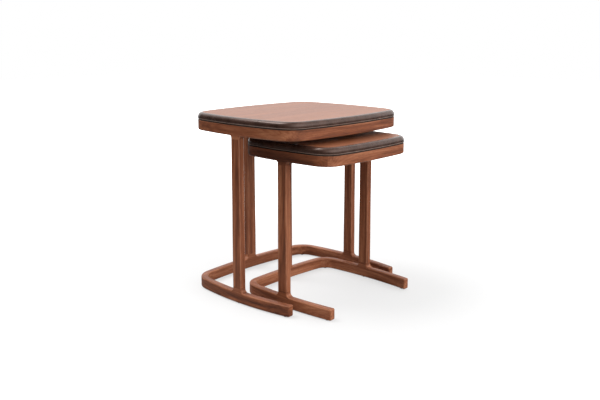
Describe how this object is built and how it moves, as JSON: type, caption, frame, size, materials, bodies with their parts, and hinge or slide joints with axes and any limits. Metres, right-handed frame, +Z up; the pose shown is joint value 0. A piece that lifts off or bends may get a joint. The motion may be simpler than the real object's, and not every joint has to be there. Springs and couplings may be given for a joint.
{
  "type": "nesting tables",
  "caption": "Nesting side tables with bowed square tops, leather-wrapped edges on a wood rim, slim posts and open U-shaped floor runners; the smaller slides out from under the larger.",
  "frame": {"origin": "on the floor, under the middle of the set's bounding box with the small table standing partly pulled out", "axes": "+Z up; +X is the way the small table pulls out, towards the runners' open ends; +Y is to the right of someone standing in front and facing the tables"},
  "size_m": [0.481, 0.48, 0.5],
  "materials": {
    "frame_walnut": "oiled walnut, satin, eased edges",
    "top_walnut": "matt lacquered walnut veneer",
    "edge_leather": "dark brown saddle leather, soft sheen",
    "welt_leather": "burnished brown leather welt",
    "black_spacer": "black stained board",
    "panel_walnut": "walnut-faced plywood, oiled",
    "plywood": "birch plywood, sanded",
    "beech": "planed beech",
    "felt": "dark brown pressed felt",
    "zinc_steel": "zinc plated screw"
  },
  "bodies": {
    "large_table": {"large_back_post": "frame_walnut", "large_back_rail": "frame_walnut", "large_back_runner": "frame_walnut", "large_felt_glides": "felt", "large_frame_panel": "panel_walnut", "large_front_rail": "frame_walnut", "large_leather_edge": "edge_leather", "large_leather_welt": "welt_leather", "large_left_post": "frame_walnut", "large_left_rail": "frame_walnut", "large_left_runner": "frame_walnut", "large_lower_tenons": "beech", "large_rail_splines": "beech", "large_right_post": "frame_walnut", "large_right_rail": "frame_walnut", "large_right_runner": "frame_walnut", "large_runner_splines": "beech", "large_shadow_spacer": "black_spacer", "large_top_core": "plywood", "large_top_panel": "top_walnut", "large_top_screws": "zinc_steel", "large_upper_tenons": "beech"},
    "small_table": {"small_back_post": "frame_walnut", "small_back_rail": "frame_walnut", "small_back_runner": "frame_walnut", "small_felt_glides": "felt", "small_frame_panel": "panel_walnut", "small_front_rail": "frame_walnut", "small_leather_edge": "edge_leather", "small_leather_welt": "welt_leather", "small_left_post": "frame_walnut", "small_left_rail": "frame_walnut", "small_left_runner": "frame_walnut", "small_lower_tenons": "beech", "small_rail_splines": "beech", "small_right_post": "frame_walnut", "small_right_rail": "frame_walnut", "small_right_runner": "frame_walnut", "small_runner_splines": "beech", "small_shadow_spacer": "black_spacer", "small_top_core": "plywood", "small_top_panel": "top_walnut", "small_top_screws": "zinc_steel", "small_upper_tenons": "beech"}
  },
  "joints": [
    {"name": "small_table_slide", "type": "slide", "parent": "large_table", "child": "small_table", "axis": [1, 0, 0], "range_m": [-0.13, 0.273]}
  ]
}
